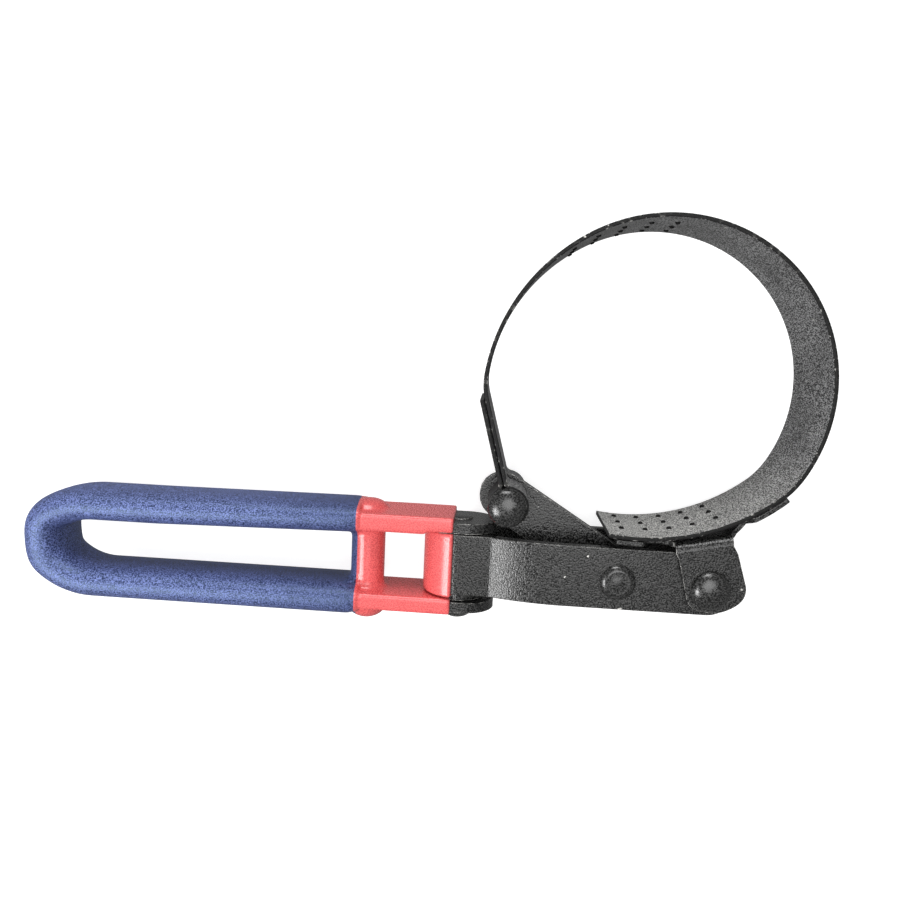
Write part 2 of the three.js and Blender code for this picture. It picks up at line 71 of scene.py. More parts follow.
BAND_HALF = 15.875
BAND_THICK = 1.2
BAND_GAP = 0.3
BAND_START = (35.0, -55.1, -8.0)      # x, y and heading in degrees
BASE_RADIUS = 62                      # the band lies flatter over the bracket
BASE_RUN = [(BASE_RADIUS, 46.5), (26, 22)]
LOOP_RADIUS = 47.7
LOOP_SWEEP = 151
LEFT_RADIUS = 54.5
LOOP_CENTRE = (47.5, -11.0, 0.0)
EYE_CENTRE = (5.08, -48.37)
EYE_RADIUS = 5.5
EYE_FILLET = 2.5
FOLD_RUN = (18, 23)                   # the bend by which the band turns towards its eye
FOLD_DOUBLE = 25.07                   # length over which the strip lies doubled
EYE_SLOT = (22, 21.2, 4.2)            # the slot that lets the link into the eye
TOOTH_ROWS = (-10.6, -2.4, 5.8)
TOOTH_PITCH = 7.2

ARM_THICK = 3.0
ARM_MIDDLE = 12.4
ARM_TOP = -59.35
ARM_BOTTOM = -78.1
ARM_TIP = 8.3                         # from the lever's pivot to the end of an arm
ARM_CORNERS = (4.5, 8.4)              # radii of an arm's end, above and below
KNUCKLE_RADIUS = 8.5
FLARE_START = 8.7                     # straight length from the swivel to the first bend
FLARE_SWEEP = 18.5
FLARE_FIRST = 8.0                     # a sharp bend outwards, then a slow one back
FLARE_SECOND = 67.6
SHANK_RADIUS = 3.175
LINK_THICK = 3.2
LINK_HALF = 7.3
LINK_OVERHANG = 1.4
STRAP_HALF = 9.525
STRAP_THICK = 3.175
STRAP_TOP = -57.45
STRAP_BOTTOM = -82.4
EAR_END = 2.3
BRACE_X = -38.3
BEND_X = -125.8
BEND_UPPER = [(27, 28), (6.6, 62)]
BEND_LOWER = [(29.6, 10), (6.6, 40), (22.8, 40)]
RISE_START = -105                     # the upper leg rises from here
RISE_END = -41
RISE = 0.9
GRIP_START = -40.0
DIP_LINE = -41.4                      # where the blue dip meets the red one
DIP_EASE = 2.5                        # length over which the grip swells to its full thickness
DIP_VOXEL = 0.45
COLLAR_START = -50
COLLAR_END = -11.0
COLLAR_COAT = 0.75
COLLAR_BARE = -19.5                   # the collar is bare inside from here, clear of the lever
KNUCKLE_END = -10.7
BRACE_RADIUS = 5.35                   # the tube across the legs, over its dip


# ---------------------------------------------------------------- mesh helpers
def to_frame(obj):
    """Moves a mesh drawn in millimetres into the frame, in metres."""
    obj.data.transform(Matrix.Scale(MM, 4) @ Matrix.Translation(ORIGIN))
    return obj


def new_object(name, verts, faces):
    """A mesh object with its faces pointing out."""
    mesh = bpy.data.meshes.new(name)
    mesh.from_pydata([tuple(v) for v in verts], [], faces)
    mesh.validate()
    obj = bpy.data.objects.new(name, mesh)
    bpy.context.scene.collection.objects.link(obj)
    outward(obj)
    return obj


def outward(obj):
    bm = bmesh.new()
    bm.from_mesh(obj.data)
    bmesh.ops.recalc_face_normals(bm, faces=bm.faces)
    bm.to_mesh(obj.data)
    bm.free()


def baked(obj):
    """Applies every modifier on the object."""
    graph = bpy.context.evaluated_depsgraph_get()
    graph.update()
    mesh = bpy.data.meshes.new_from_object(obj.evaluated_get(graph), depsgraph=graph)
    old = obj.data
    obj.modifiers.clear()
    obj.data = mesh
    bpy.data.meshes.remove(old)
    return obj


def smooth(obj, angle=None):
    """Smooth shading, with edges sharper than the angle left hard."""
    obj.data.shade_smooth()
    if angle is not None:
        obj.data.set_sharp_from_angle(angle=math.radians(angle))
    return obj


def joined(name, objects):
    """One object from several, which are removed."""
    bm = bmesh.new()
    for obj in objects:
        bm.from_mesh(obj.data)
        bpy.data.objects.remove(obj)
    mesh = bpy.data.meshes.new(name)
    bm.to_mesh(mesh)
    bm.free()
    whole = bpy.data.objects.new(name, mesh)
    bpy.context.scene.collection.objects.link(whole)
    return whole


def box_object(name, centre, size, turn=0.0):
    x, y, z = (s / 2 for s in size)
    verts = [Vector((sx * x, sy * y, sz * z)) for sx in (-1, 1) for sy in (-1, 1) for sz in (-1, 1)]
    faces = [(0, 1, 3, 2), (4, 6, 7, 5), (0, 4, 5, 1), (2, 3, 7, 6), (0, 2, 6, 4), (1, 5, 7, 3)]
    place = Matrix.Translation(centre) @ Matrix.Rotation(turn, 4, "Z")
    return new_object(name, [place @ v for v in verts], faces)


def cut(obj, tool):
    """Takes the tool's shape out of the object."""
    knife = obj.modifiers.new("cut", "BOOLEAN")
    knife.operation = "DIFFERENCE"
    knife.solver = "EXACT"
    knife.object = tool
    baked(obj)
    bpy.data.objects.remove(tool)
    return smooth(obj, 50)


def lathe(name, profile, centre, axis="Z", segments=48):
    """A turned solid from (radius, height) pairs; a radius of 0 closes it at a pole."""
    verts, faces, rings = [], [], []
    for r, h in profile:
        if r == 0:
            rings.append([len(verts)])
            verts.append((0, 0, h))
            continue
        rings.append(list(range(len(verts), len(verts) + segments)))
        for i in range(segments):
            a = 2 * math.pi * i / segments
            verts.append((r * math.cos(a), r * math.sin(a), h))
    for low, high in zip(rings, rings[1:]):
        for i in range(segments):
            j = (i + 1) % segments
            quad = [low[i % len(low)], low[j % len(low)], high[j % len(high)], high[i % len(high)]]
            faces.append(tuple(dict.fromkeys(quad)))
    turn = Matrix.Rotation(-math.pi / 2, 4, "X") if axis == "Y" else Matrix.Identity(4)
    place = Matrix.Translation(centre) @ turn
    return new_object(name, [place @ Vector(v) for v in verts], faces)


def dome_profile(radius, base, height, rim=0.35, steps=9):
    """A round head: a short rim, then a quarter ellipse up to the crown."""
    points = [(radius - rim * 0.5, base), (radius, base + rim * 0.45)]
    for i in range(1, steps + 1):
        a = (i / steps) * math.pi / 2
        points.append((radius * math.cos(a), base + rim + (height - rim) * math.sin(a)))
    points[-1] = (0, base + height)
    return points


def sheet(name, grid, thickness, rim=0.45, segments=3):
    """A bent sheet from a grid of points on its middle, with rounded rims."""
    n = len(grid[0])
    corners = [r * n + c for r in range(len(grid) - 1) for c in range(n - 1)]
    faces = [(a, a + 1, a + n + 1, a + n) for a in corners]
    obj = new_object(name, [p for row in grid for p in row], faces)
    solid = obj.modifiers.new("solid", "SOLIDIFY")
    solid.thickness = thickness
    solid.offset = 0
    solid.use_even_offset = True
    bevel = obj.modifiers.new("rim", "BEVEL")
    bevel.width = rim
    bevel.segments = segments
    bevel.limit_method = "ANGLE"
    bevel.angle_limit = math.radians(50)
    smooth(obj)
    weighted = obj.modifiers.new("shading", "WEIGHTED_NORMAL")
    weighted.weight = 60
    return baked(obj)


# ---------------------------------------------------------------- paths
def walk(start, run, step=1.5):
    """Stations along bends [radius, sweep] and straights [length, 0], each about a step apart."""
    x, y, heading = start
    stations = [(x, y, heading)]
    for size, sweep in run:
        if sweep == 0:
            h = math.radians(heading)
            count = max(1, round(size / step))
            x0, y0 = x, y
            for i in range(1, count + 1):
                d = size * i / count
                stations.append((x0 + d * math.cos(h), y0 + d * math.sin(h), heading))
        else:
            side = math.copysign(1, sweep)
            h = math.radians(heading)
            cx, cy = x - side * size * math.sin(h), y + side * size * math.cos(h)
            count = max(2, math.ceil(max(size * math.radians(abs(sweep)) / step, abs(sweep) / 12)))
            h0 = heading
            for i in range(1, count + 1):
                heading = h0 + sweep * i / count
                a = math.radians(heading)
                stations.append(
                    (cx + side * size * math.sin(a), cy - side * size * math.cos(a), heading))
        x, y, heading = stations[-1]
    return stations


def aside(station, left):
    """The point at a distance to the left of a station."""
    x, y, heading = station
    h = math.radians(heading)
    return Vector((x - left * math.sin(h), y + left * math.cos(h), 0))


def rounded_section(half_thick, half_width, radius, across=10, corner=4):
    """(left, z) points round a flat strip's section, with extra points beside its corners."""
    points = []
    for start, sx, sz in ((90, 1, 1), (0, 1, -1), (-90, -1, -1), (-180, -1, 1)):
        for i in range(corner + 1):
            a = math.radians(start - 90 * i / corner)
            points.append((sx * (half_thick - radius) + radius * math.cos(a),
                           sz * (half_width - radius) + radius * math.sin(a)))
        if sx == sz:
            inner = half_width - radius - 0.5
            for i in range(across + 1):
                z = inner - 2 * inner * i / across
                points.append((sx * half_thick, z * sz))
    return points


def superellipse(half_thick, half_width, power, count=40):
    """(left, z) points round an oval section, squarer as the power grows past 2."""
    points = []
    for i in range(count):
        a = 2 * math.pi * i / count
        c, s = math.cos(a), math.sin(a)
        points.append((math.copysign(abs(c) ** (2 / power), c) * half_thick,
                       math.copysign(abs(s) ** (2 / power), s) * half_width))
    return points


def swept(name, stations, sections):
    """A solid through one closed section at each station."""
    rings = [[aside(s, left) + Vector((0, 0, z)) for left, z in section]
             for s, section in zip(stations, sections)]
    n = len(rings[0])
    verts = [v for ring in rings for v in ring]
    faces = [(r * n + i, r * n + (i + 1) % n, (r + 1) * n + (i + 1) % n, (r + 1) * n + i)
             for r in range(len(rings) - 1) for i in range(n)]
    faces += [tuple(range(n)), tuple(range((len(rings) - 1) * n, len(rings) * n))]
    return new_object(name, verts, faces)


def smoothstep(share):
    """Eases a share in and out, and keeps it within 0 and 1."""
    t = min(1.0, max(0.0, share))
    return t * t * (3 - 2 * t)


# ---------------------------------------------------------------- materials
class Paint:
    """Node material built step by step on object coordinates, which move with each piece."""

    def __init__(self, name):
        self.material = bpy.data.materials.new(name)
        self.material.use_nodes = True
        self.tree = self.material.node_tree
        self.shader = self.tree.nodes["Principled BSDF"]
        self.where = self.add("ShaderNodeTexCoord").outputs["Object"]

    def add(self, kind, **settings):
        node = self.tree.nodes.new(kind)
        for key, value in settings.items():
            setattr(node, key, value)
        return node

    def link(self, a, b):
        self.tree.links.new(a, b)

    def noise(self, size_mm, detail=3.0, stretch=None, seed=0.0):
        """Noise whose features are about size_mm across."""
        place = self.add("ShaderNodeMapping")
        place.inputs["Location"].default_value = (seed, seed * 0.7, -seed)
        if stretch:
            place.inputs["Scale"].default_value = stretch
        self.link(self.where, place.inputs["Vector"])
        node = self.add("ShaderNodeTexNoise")
        node.inputs["Scale"].default_value = 1 / (size_mm * MM)
        node.inputs["Detail"].default_value = detail
        node.inputs["Roughness"].default_value = 0.55
        self.link(place.outputs["Vector"], node.inputs["Vector"])
        return node.outputs["Fac"]

    def grey(self, value, low, high, dark=0.0, light=1.0):
        """A dark grey at one value, a light grey at another, and a ramp between them."""
        node = self.add("ShaderNodeValToRGB")
        for element, position, shade in zip(node.color_ramp.elements, (low, high), (dark, light)):
            element.position = position
            element.color = (*level(shade), 1)
        self.link(value, node.inputs["Fac"])
        return node.outputs["Color"]

    def mix(self, factor, a, b, mode="MIX"):
        node = self.add("ShaderNodeMix", data_type="RGBA", blend_type=mode)
        for socket, value in ((node.inputs[0], factor), (node.inputs[6], a), (node.inputs[7], b)):
            if isinstance(value, bpy.types.NodeSocket):
                self.link(value, socket)
            elif isinstance(value, (int, float)):
                socket.default_value = value
            else:
                socket.default_value = (*value, 1)
        return node.outputs[2]

    def math(self, operation, a, b=0.0):
        node = self.add("ShaderNodeMath", operation=operation)
        for socket, value in ((node.inputs[0], a), (node.inputs[1], b)):
            if isinstance(value, bpy.types.NodeSocket):
                self.link(value, socket)
            else:
                socket.default_value = value
        return node.outputs[0]

    def bump(self, height, depth_mm, onto=None):
        node = self.add("ShaderNodeBump")
        node.inputs["Strength"].default_value = 1.0
        node.inputs["Distance"].default_value = depth_mm * MM
        self.link(height, node.inputs["Height"])
        if onto is not None:
            self.link(onto, node.inputs["Normal"])
        return node.outputs["Normal"]

    def set(self, **values):
        names = {"color": "Base Color", "rough": "Roughness", "metal": "Metallic", "normal": "Normal",
                 "specular": "Specular IOR Level", "specular_tint": "Specular Tint"}
        for key, value in values.items():
            socket = self.shader.inputs[names[key]]
            if isinstance(value, bpy.types.NodeSocket):
                self.link(value, socket)
            elif isinstance(value, tuple):
                socket.default_value = (*value, 1)
            else:
                socket.default_value = value

    def map_range(self, value, low, high):
        """0 to 1 between two values, in the value's own unit."""
        node = self.add("ShaderNodeMapRange")
        node.inputs["From Min"].default_value = low
        node.inputs["From Max"].default_value = high
        self.link(value, node.inputs["Value"])
        return node.outputs["Result"]

    def place(self, axis):
        """How far along a frame axis each point lies, in metres."""
        parts = self.add("ShaderNodeSeparateXYZ")
        self.link(self.where, parts.inputs["Vector"])
        return parts.outputs[axis]

    def near_edges(self, radius_mm):
        """1 on sharp edges, falling to 0 away from them."""
        rounded = self.add("ShaderNodeBevel", samples=4)
        rounded.inputs["Radius"].default_value = radius_mm * MM
        facing = self.add("ShaderNodeVectorMath", operation="DOT_PRODUCT")
        self.link(rounded.outputs["Normal"], facing.inputs[0])
        self.link(self.add("ShaderNodeNewGeometry").outputs["Normal"], facing.inputs[1])
        return self.math("SUBTRACT", 1.0, facing.outputs["Value"])

    def share(self, axis, low_mm, high_mm):
        """0 to 1 between two places along an axis of the drawing."""
        shift = ORIGIN["XYZ".index(axis)]
        return self.map_range(self.place(axis), (low_mm + shift) * MM, (high_mm + shift) * MM)

    def facing_middle(self, centre_mm):
        """1 on faces that look towards an upright line through a place in the drawing."""
        away = self.add("ShaderNodeVectorMath", operation="SUBTRACT")
        self.link(self.where, away.inputs[0])
        away.inputs[1].default_value = (ORIGIN + Vector(centre_mm)) * MM
        flat = self.add("ShaderNodeVectorMath", operation="MULTIPLY")
        self.link(away.outputs["Vector"], flat.inputs[0])
        flat.inputs[1].default_value = (1, 1, 0)
        facing = self.add("ShaderNodeVectorMath", operation="DOT_PRODUCT")
        self.link(flat.outputs["Vector"], facing.inputs[0])
        self.link(self.add("ShaderNodeNewGeometry").outputs["Normal"], facing.inputs[1])
        return self.math("LESS_THAN", facing.outputs["Value"], 0.0)

    def off_middle(self):
        """Distance from the tool's middle plane, in metres."""
        return self.math("ABSOLUTE", self.math("SUBTRACT", self.place("Z"), HALF_DEPTH * MM))

    def on_rims(self, low_mm, high_mm):
        """0 to 1 between two distances from the tool's middle plane."""
        return self.map_range(self.off_middle(), low_mm * MM, high_mm * MM)

    def near_rims(self, half_mm, reach_mm):
        """1 on the two corner lines of a strip's rims, falling to 0 away from them."""
        off = self.math("ABSOLUTE", self.math("SUBTRACT", self.off_middle(), half_mm * MM))
        return self.math("SUBTRACT", 1.0, self.math("DIVIDE", off, reach_mm * MM))


GRAIN = (0.38, 0.68)                  # the part of the noise's range that makes the grain
PALE_METAL = (0.62, 0.61, 0.58)


def level(value):
    """A neutral grey."""
    return (value,) * 3


def enamel(name, dark, light, depth, rough, edge, wear_and_glint, specular=0.5, stretch=None, tone_by_place=None,
           chips=(0.42, 0.6)):
    """Hammered enamel: speckled grain, slow mottle, and pale metal in nicks and along edges, partly
    worn paint and partly a painted highlight where corners catch the light.
    """
    p = Paint(name)
    fine = p.noise(0.45, detail=0.0, stretch=stretch)
    coarse = p.noise(1.5, detail=2.0, seed=0.3)
    slow = p.noise(16, detail=3.0, seed=0.9)
    color = p.mix(p.grey(fine, *GRAIN), dark, light)
    color = p.mix(p.grey(slow, 0.35, 0.7, 0, 0.35), color, dark)
    # A colour by place: on the band, painted light and painted shade.
    if tone_by_place:
        color = tone_by_place(p, fine, color)
    # Pale metal along edges: partly worn paint, partly a painted highlight.
    rubbed_and_glinting = p.math("MULTIPLY", edge(p), p.grey(coarse, *chips))
    nicks = p.grey(p.noise(2.2, detail=1.0, seed=1.7), 0.77, 0.79)
    rubbed_and_glinting = p.math("MAXIMUM", p.math("MULTIPLY", rubbed_and_glinting, wear_and_glint), p.math("MULTIPLY", nicks, wear_and_glint))
    p.set(color=p.mix(rubbed_and_glinting, color, PALE_METAL), metal=p.math("MULTIPLY", rubbed_and_glinting, 0.5),
          specular=specular, rough=p.grey(fine, 0.35, 0.65, *rough))
    p.set(normal=p.bump(coarse, 0.6 * depth, onto=p.bump(fine, depth)))
    return p.material


def vinyl(name, color, shade, rough, depth, contrast, specular, tint, tone_by_place=None):
    """Dipped vinyl: fine speckle over slow patches, with a sheen in its own tint."""
    p = Paint(name)
    fine = p.noise(0.4, detail=0.0)
    patch = p.noise(5.0, detail=2.0, seed=0.5)
    base = p.mix(p.grey(fine, *contrast), shade, color)
    base = p.mix(p.grey(patch, 0.4, 0.7, 0, 0.2), base, shade)
    if tone_by_place:
        base = p.mix(tone_by_place(p), base, shade)
    p.set(color=base, specular=specular, specular_tint=tint, rough=p.grey(fine, 0.35, 0.65, *rough))
    p.set(normal=p.bump(patch, 0.03, onto=p.bump(fine, depth)))
    return p.material


def steel(name):
    """Plain turned steel, with fine marks around it."""
    p = Paint(name)
    turned = p.noise(0.5, stretch=(1, 1, 8))
    p.set(color=p.mix(turned, (0.2, 0.2, 0.21), (0.42, 0.42, 0.43)), metal=1.0,
          rough=p.grey(turned, 0.3, 0.7, 0.3, 0.5), normal=p.bump(turned, 0.01))
    return p.material


def rim_wear_and_glint(paint):
    """Where the band's rims rub, and a painted highlight along their corner lines."""
    return paint.grey(paint.near_rims(BAND_HALF - 0.14, 0.16), 0.1, 0.6)


def worn_and_glinting_edges(paint):
    """Where any sharp edge rubs, and a painted highlight along it."""
    return paint.grey(paint.near_edges(0.4), 0.03, 0.12)


def painted_light_on_band(paint, grain, color):
    """Painted light and shade: the band's inside is pale and a little warm at its start, a painted
    pool of light, and its outside is near black, painted shade. Its rims are darker.
    """
    # Painted light: the inside of the band's start is pale and a little warm.
    near_start = paint.math("MULTIPLY", paint.share("X", 8, 34), paint.share("Y", -29, -60))
    pale = paint.mix(paint.grey(grain, 0.35, 0.7), (0.1, 0.1, 0.098), (0.72, 0.715, 0.69))
    color = paint.mix(near_start, color, pale)
    # Painted shade: the band's outside is near black.
    outside = paint.mix(paint.grey(grain, *GRAIN), level(0.003), level(0.06))
    color = paint.mix(paint.facing_middle(LOOP_CENTRE), outside, color)
    return paint.mix(paint.on_rims(BAND_HALF - 0.35, BAND_HALF - 0.15), color, level(0.006))


def grip_end(paint):
    """The grip darkens towards the collar."""
    return paint.grey(paint.share("X", -80, DIP_LINE), 0, 1, 0, 0.45)


BLACKS = {"dark": level(0.002), "light": (0.05, 0.05, 0.0495), "edge": worn_and_glinting_edges}
# The band's enamel carries painted light and painted shade, laid on by place.
BAND_PAINT = enamel(
    "band_enamel", dark=level(0.015), light=(0.42, 0.42, 0.423), depth=0.06, rough=(0.45, 0.65),
    edge=rim_wear_and_glint, wear_and_glint=0.8, specular=0.22, stretch=(1.3, 1.3, 0.65), tone_by_place=painted_light_on_band,
    chips=(0.6, 0.66))
BLACK_PAINT = enamel("black_enamel", depth=0.07, rough=(0.2, 0.38), wear_and_glint=0.85, **BLACKS)
BLUE_VINYL = vinyl(
    "blue_vinyl", color=(0.17, 0.215, 0.49), shade=(0.012, 0.018, 0.06), rough=(0.42, 0.58),
    depth=0.08, contrast=(0.32, 0.7), specular=0.9, tint=(0.5, 0.68, 1.0), tone_by_place=grip_end)
RED_VINYL = vinyl(
    "red_vinyl", color=(0.8, 0.13, 0.13), shade=(0.6, 0.085, 0.088), rough=(0.2, 0.32),
    depth=0.015, contrast=(0.25, 0.6), specular=0.55, tint=(1.0, 0.9, 0.9))
RIVET_PAINT = enamel("rivet_enamel", depth=0.02, rough=(0.2, 0.32), wear_and_glint=0.5, specular=0.6, **BLACKS)
# The teeth are painted near black: painted shade for the shadows in their pits and beside their
# burrs.
TOOTH_SHADE_PAINT = enamel(
    "tooth_painted_shade", dark=level(0.001), light=level(0.01), depth=0.02, rough=(0.6, 0.8),
    edge=worn_and_glinting_edges, wear_and_glint=0.1, specular=0.15)
STEEL = steel("plain_steel")


def finish_piece(obj, paint, body, *replaced):
    """Paints a drawn piece, moves it into the frame and ties it to its body and CAD nodes."""
    obj.data.materials.clear()
    obj.data.materials.append(paint)
    to_frame(obj)
    if body:
        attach(obj, body)
    if replaced:
        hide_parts(*replaced)
    return obj


# ---------------------------------------------------------------- band
STRIPS = [             # each drawn length, the nodes it stands for, and the heading at its hinge
    ("strip_start", ("band_right", "band_base"), 78.0),
    ("strip_right", ("band_upper_right",), 116.0),
    ("strip_upper_right", ("band_top",), 154.0),
    ("strip_top", ("band_upper_left",), 192.0),
    ("strip_upper_left", ("band_left",), 228.5),
    ("strip_eye", ("band_eye",), 262.5),
]
TOOTH_PROFILE = [(0, -0.3), (0.95, -0.3), (0.9, 0.0), (0.72, 0.2), (0.6, 0.48), (0.5, 0.55),
                 (0.42, 0.48), (0.36, 0.1), (0, -0.1)]
TEETH = [              # each group, its body, and the headings between which its teeth stand
    ("teeth_start", "root", -8, 78),
    ("teeth_top", "band_c", 154, 192),
    ("teeth_left", "band_d", 192, 228.5),
]


def band_path():
    """Stations along the strip: base, loop, the bend to the eye, round the eye and back."""
    offset = (BAND_THICK + BAND_GAP) / 2
    fillet = math.degrees(math.acos((offset + EYE_FILLET) / (EYE_FILLET + EYE_RADIUS)))
    return walk(BAND_START, [
        *BASE_RUN, (LOOP_RADIUS, LOOP_SWEEP), (LEFT_RADIUS, 51), FOLD_RUN, (FOLD_DOUBLE, 0),
        (EYE_FILLET, fillet), (EYE_RADIUS, -(180 + 2 * fillet)), (EYE_FILLET, fillet),
        (FOLD_DOUBLE, 0)])


def tooth(station, z):
    """A pierced burr: a low cone with a sunk middle, standing on the band's inner face."""
    obj = lathe("tooth", TOOTH_PROFILE, (0, 0, 0), "Y", 20)
    turn = Matrix.Rotation(math.radians(station[2]), 4, "Z")
    base = aside(station, BAND_THICK / 2 - 0.02)
    obj.data.transform(Matrix.Translation(base + Vector((0, 0, z))) @ turn)
    return smooth(obj, 75)


def tooth_stations():
    """Five places along the band's start, and five over its top and down its left."""
    lower = [walk(BAND_START, [(BASE_RADIUS, math.degrees(n * TOOTH_PITCH / BASE_RADIUS))])[-1]
             for n in (0.7, 1.7, 2.7, 3.7, 4.7)]
    upper = [walk(BAND_START, BASE_RUN + [(LOOP_RADIUS, sweep)])[-1]
             for sweep in (117, 126, 135.5, 145)]
    last = walk(BAND_START, BASE_RUN + [(LOOP_RADIUS, LOOP_SWEEP), (LEFT_RADIUS, 3)])[-1]
    return lower + upper + [last]


def build_teeth():
    """The teeth stand on rigid stretches of the band, each group on the body of its stretch."""
    for name, body, low, high in TEETH:
        group = [tooth(t, z) for t in tooth_stations() if low <= t[2] < high for z in TOOTH_ROWS]
        finish_piece(joined(name, group), TOOTH_SHADE_PAINT, body)


def build_band():
    """Six lengths, each parted halfway between two hinges so that it runs across its own hinge."""
    path = band_path()
    section = rounded_section(BAND_THICK / 2, BAND_HALF, 0.3, across=8)
    headings = [heading for _, _, heading in path]
    fold = headings.index(max(headings))
    hinges = [hinge for _, _, hinge in STRIPS]
    halfway = [(a + b) / 2 for a, b in zip(hinges, hinges[1:])]
    cuts = [min(range(fold), key=lambda i: abs(headings[i] - h)) for h in halfway]
    ends = [0, *cuts, len(path) - 1]
    for k, (name, nodes, hinge) in enumerate(STRIPS):
        stations = path[ends[k]:ends[k + 1] + 1]
        piece = smooth(swept(name, stations, [section] * len(stations)), 50)
        if name == "strip_eye":
            turn = math.radians(headings[-1] - 90)
            cut(piece, box_object("slot", (*EYE_CENTRE, 0), EYE_SLOT, turn))
        finish_piece(piece, BAND_PAINT, None, *nodes)
        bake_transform(piece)


# ---------------------------------------------------------------- lever, link and rivets
NARROW_COLUMNS = (-1, -0.8, -0.4, 0, 0.4, 0.8, 1)     # where a strip's grid has its points across
COAT_COLUMNS = (-1, -0.9, -0.5, 0, 0.5, 0.9, 1)
ARM_COLUMNS = (-1, -0.9, -0.6, -0.3, 0, 0.3, 0.6, 0.9, 1)
BUTTON = [(5.2, 0), (5.3, 0.25), (5.1, 0.7), (4.6, 1.15), (3.8, 1.5), (3.4, 1.55), (3.1, 1.5),
          (1.5, 1.72), (0, 1.8)]


def end_width(distance, radius, half):
    """Half width of a strip near its rounded end, at a distance from the tip."""
    if distance >= radius:
        return half
    return half - radius + math.sqrt(max(0.0, radius ** 2 - (radius - distance) ** 2))


def build_lever():
    """The two arms and the knuckle, as one strip bent along the middle of its thickness."""
    flare = (FLARE_FIRST + FLARE_SECOND) * math.sin(math.radians(FLARE_SWEEP))
    reach = LEVER_PIVOT.x + ARM_TIP - SWIVEL_X - flare - FLARE_START
    start = (SWIVEL_X - KNUCKLE_RADIUS, 0, -90)
    run = [(KNUCKLE_RADIUS, 90), (FLARE_START, 0), (FLARE_FIRST, -FLARE_SWEEP),
           (FLARE_SECOND, FLARE_SWEEP), (reach, 0)]
    arm = walk(start, run, 1.2)
    stations = [(x, -y) for x, y, _ in reversed(arm[1:])] + [(x, y) for x, y, _ in arm]
    tip = arm[-1][0]
    middle, half = (ARM_TOP + ARM_BOTTOM) / 2, (ARM_TOP - ARM_BOTTOM) / 2
    grid = []
    for x, z in stations:
        away = max(0.35, tip - x)
        top = middle + end_width(away, ARM_CORNERS[0], half)
        bottom = middle - end_width(away, ARM_CORNERS[1], half)
        grid.append([Vector((x, (top + bottom) / 2 + c * (top - bottom) / 2, z))
                     for c in ARM_COLUMNS])
    finish_piece(sheet("lever_bar", grid, ARM_THICK, 0.7), BLACK_PAINT, "lever", "lever_clevis")


def build_knuckle_coat():
    """The dip covers the bend's outside and both edges, and stays clear of the sleeve within."""
    radius, thick = KNUCKLE_RADIUS + 0.6, ARM_THICK + 1.0
    skip = math.degrees(math.asin((SWIVEL_X - KNUCKLE_END) / radius))
    start = (KNUCKLE_END, -radius * math.cos(math.radians(skip)), 180 - skip)
    turn = walk(start, [(radius, 2 * skip - 180)], 0.8)
    low, high = ARM_BOTTOM - 0.9, ARM_TOP + 0.2
    middle, half = (low + high) / 2, (high - low) / 2
    grid = [[Vector((x, middle + c * half, z)) for c in COAT_COLUMNS] for x, z, _ in turn]
    finish_piece(sheet("knuckle_dip", grid, thick, 0.9, 4), RED_VINYL, "lever", "knuckle_coat")


def build_link():
    """A flat bar with two half-round ends, a little longer on the eye's side."""
    span = LINK_PIVOT - EYE_PIVOT
    length = span.length
    steps, ends = 40, 0.3
    grid = []
    for i in range(steps + 1):
        t = i / steps
        if t < ends:
            x = -LINK_OVERHANG - LINK_HALF * math.cos(t / ends * math.pi / 2)
        elif t > 1 - ends:
            x = length + LINK_HALF * math.sin((t - (1 - ends)) / ends * math.pi / 2)
        else:
            x = -LINK_OVERHANG + (length + LINK_OVERHANG) * (t - ends) / (1 - 2 * ends)
        away = min(x + LINK_OVERHANG + LINK_HALF, length + LINK_HALF - x)
        half = end_width(max(away, 0.12), LINK_HALF, LINK_HALF)
        grid.append([Vector((x, half * c, 0)) for c in NARROW_COLUMNS])
    link = sheet("link_plate", grid, LINK_THICK, 0.5)
    turn = Matrix.Rotation(math.atan2(span.y, span.x), 4, "Z")
    link.data.transform(Matrix.Translation(EYE_PIVOT) @ turn)
    finish_piece(link, BLACK_PAINT, "link", "link_bar")


def double_headed(name, centre, head):
    """A rivet along Z: the head's profile at both ends of a plain shank."""
    upper = [(SHANK_RADIUS, head[0][1])] + head
    lower = [(r, -h) for r, h in reversed(upper)]
    return smooth(lathe(name, lower + upper, centre), 45)


def build_rivets():
    """Round heads on the bracket's and the link's rivets, and low buttons on the lever's."""
    dome = dome_profile(5.85, 16.2, 3.1)
    face = ARM_MIDDLE + ARM_THICK / 2
    button = [(r, face + h) for r, h in BUTTON]
    for name, centre, head, body, node in (
            ("bracket_rivet_heads", LEVER_PIVOT, dome, "root", "bracket_rivet"),
            ("link_rivet_heads", EYE_PIVOT, dome, "link", "link_rivet"),
            ("lever_rivet_heads", LINK_PIVOT, button, "lever", "lever_rivet")):
        finish_piece(double_headed(name, centre, head), RIVET_PAINT, body, node)


